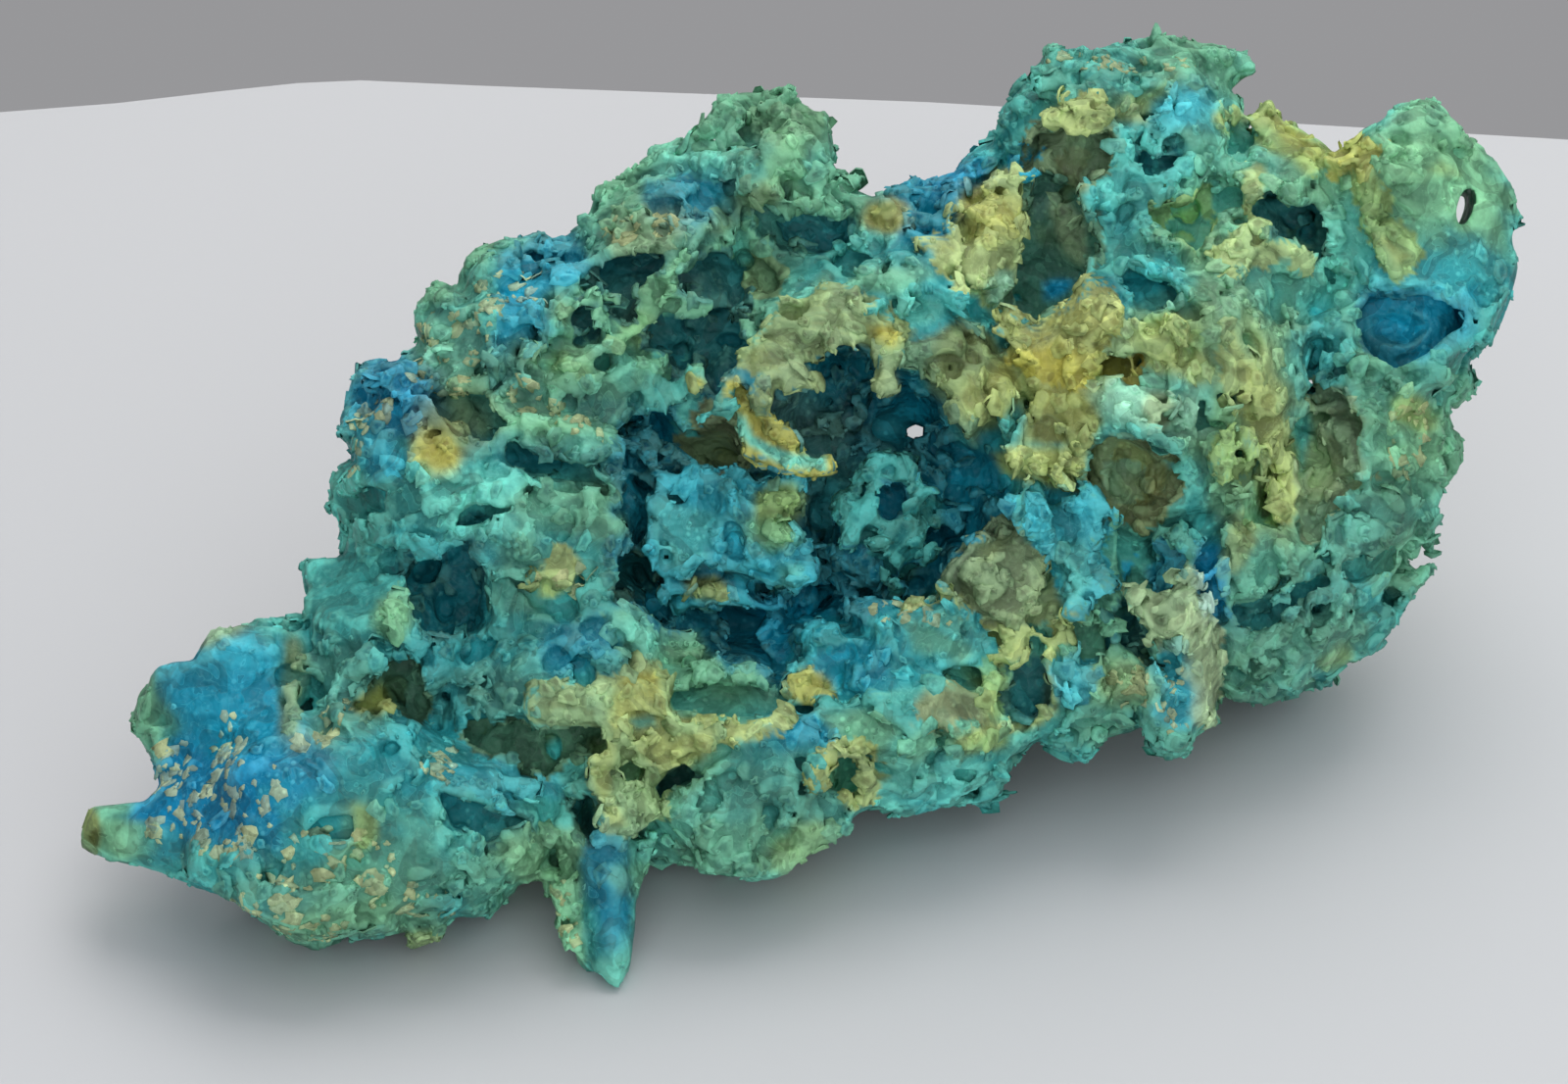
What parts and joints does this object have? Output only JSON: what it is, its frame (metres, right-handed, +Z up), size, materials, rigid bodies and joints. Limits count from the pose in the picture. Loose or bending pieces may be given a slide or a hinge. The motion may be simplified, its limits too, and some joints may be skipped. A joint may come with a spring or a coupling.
{
  "type": "chalcanthite specimen",
  "caption": "Spongy, cavernous mineral mass with ragged ledges, lying on its low points with its open hollow facing forward and up.",
  "frame": {"origin": "middle of the bounding box's base, on the surface the specimen lies on", "axes": "+Z up, +X along the specimen's length from its pointed end to its tall end, -Y towards the open hollow's side"},
  "size_m": [0.1216, 0.0725, 0.0529],
  "materials": {
    "chalcanthite": "porous, sugary blue-green mineral with cream and yellow crusts, slightly translucent, satin"
  },
  "bodies": {
    "root": {"chalcanthite": "chalcanthite"}
  },
  "joints": []
}
